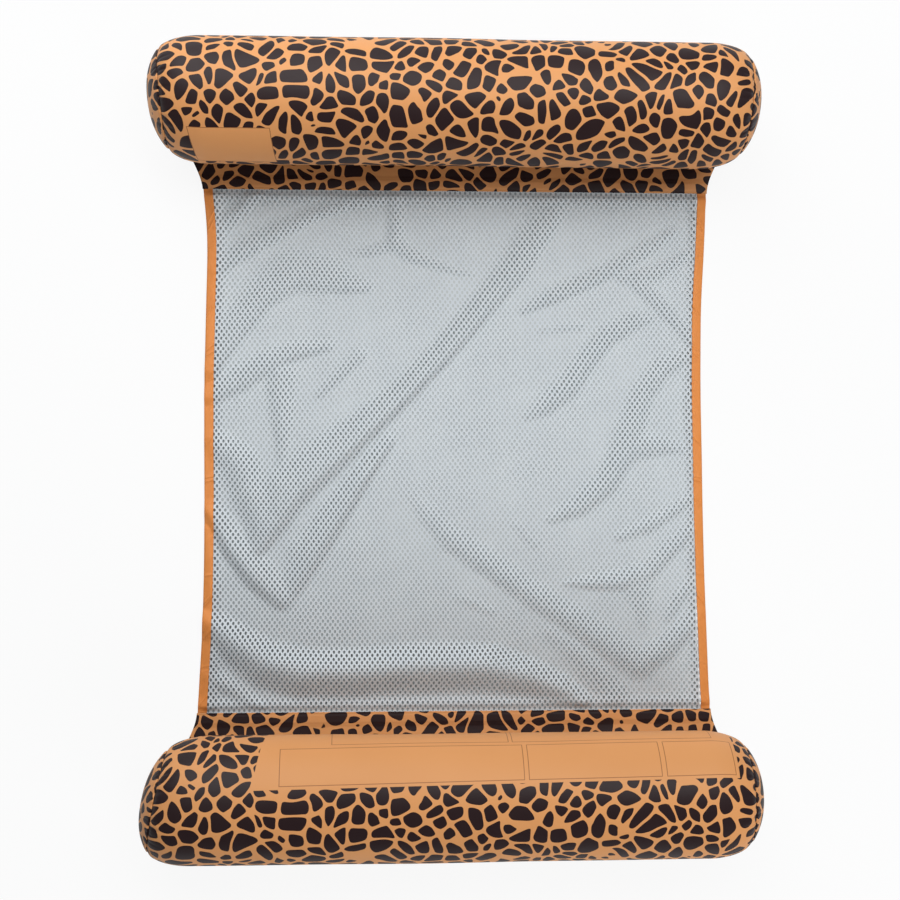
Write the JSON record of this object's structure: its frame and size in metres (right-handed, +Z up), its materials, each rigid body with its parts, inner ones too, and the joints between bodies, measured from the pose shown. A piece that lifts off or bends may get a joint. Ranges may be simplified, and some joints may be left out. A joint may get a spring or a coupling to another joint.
{
  "type": "water hammock",
  "caption": "Pool hammock with an inflatable tube at each end, joined by welded film flaps to a net panel with bound sides. The tubes fold over the net and each has a valve with a plug.",
  "frame": {"origin": "on the floor under the middle of the hammock", "axes": "+X along the tubes, +Y from the foot tube to the head tube, +Z up"},
  "size_m": [0.669, 0.8848, 0.1355],
  "materials": {
    "printed_film": "satin printed vinyl film, dark spots on tan",
    "mesh": "pale blue-grey knitted polyester net",
    "binding": "orange woven tape",
    "valve": "clear soft vinyl moulding"
  },
  "bodies": {
    "panel": {"mesh_panel": "mesh", "left_binding": "binding", "right_binding": "binding"},
    "head_flap": {"head_flap_upper_ply": "printed_film", "head_flap_lower_ply": "printed_film", "head_mesh_hem": "mesh"},
    "head_tube": {"head_tube_barrel": "printed_film", "head_left_end_disc": "printed_film", "head_right_end_disc": "printed_film", "head_valve_base": "valve"},
    "head_stem": {"head_valve_stem": "valve"},
    "head_plug": {"head_valve_plug": "valve"},
    "head_check_flap": {"head_valve_check_flap": "valve"},
    "foot_flap": {"foot_flap_upper_ply": "printed_film", "foot_flap_lower_ply": "printed_film", "foot_mesh_hem": "mesh"},
    "foot_tube": {"foot_tube_barrel": "printed_film", "foot_left_end_disc": "printed_film", "foot_right_end_disc": "printed_film", "foot_valve_base": "valve"},
    "foot_stem": {"foot_valve_stem": "valve"},
    "foot_plug": {"foot_valve_plug": "valve"},
    "foot_check_flap": {"foot_valve_check_flap": "valve"}
  },
  "joints": [
    {"name": "head_flap_fold", "type": "hinge", "parent": "panel", "child": "head_flap", "pos_m": [0, 0.29, 0.001], "axis": [1, 0, 0], "range_deg": [-100, 90]},
    {"name": "head_tube_roll", "type": "hinge", "parent": "head_flap", "child": "head_tube", "pos_m": [0, 0.3625, 0.0011], "axis": [1, 0, 0], "range_deg": [-145, 5]},
    {"name": "head_valve_slide", "type": "slide", "parent": "head_tube", "child": "head_stem", "axis": [0, 0.766, -0.6428], "range_m": [0, 0.014]},
    {"name": "head_plug_swing", "type": "hinge", "parent": "head_stem", "child": "head_plug", "pos_m": [0.2386, 0.42851, 0.02256], "axis": [0, -0.6428, -0.766], "range_deg": [0, 150]},
    {"name": "head_check_flap_swing", "type": "hinge", "parent": "head_stem", "child": "head_check_flap", "pos_m": [0.2201, 0.41032, 0.03783], "axis": [0, -0.6428, -0.766], "range_deg": [0, 60], "stiffness_Nm_per_rad": 0.0001, "springref_deg": -11.46},
    {"name": "foot_flap_fold", "type": "hinge", "parent": "panel", "child": "foot_flap", "pos_m": [0, -0.29, 0.001], "axis": [-1, 0, 0], "range_deg": [-100, 90]},
    {"name": "foot_tube_roll", "type": "hinge", "parent": "foot_flap", "child": "foot_tube", "pos_m": [0, -0.3625, 0.0011], "axis": [-1, 0, 0], "range_deg": [-145, 5]},
    {"name": "foot_valve_slide", "type": "slide", "parent": "foot_tube", "child": "foot_stem", "axis": [0, -0.766, -0.6428], "range_m": [0, 0.014]},
    {"name": "foot_plug_swing", "type": "hinge", "parent": "foot_stem", "child": "foot_plug", "pos_m": [-0.2386, -0.42851, 0.02256], "axis": [0, 0.6428, -0.766], "range_deg": [0, 150]},
    {"name": "foot_check_flap_swing", "type": "hinge", "parent": "foot_stem", "child": "foot_check_flap", "pos_m": [-0.2201, -0.41032, 0.03783], "axis": [0, 0.6428, -0.766], "range_deg": [0, 60], "stiffness_Nm_per_rad": 0.0001, "springref_deg": -11.46}
  ]
}
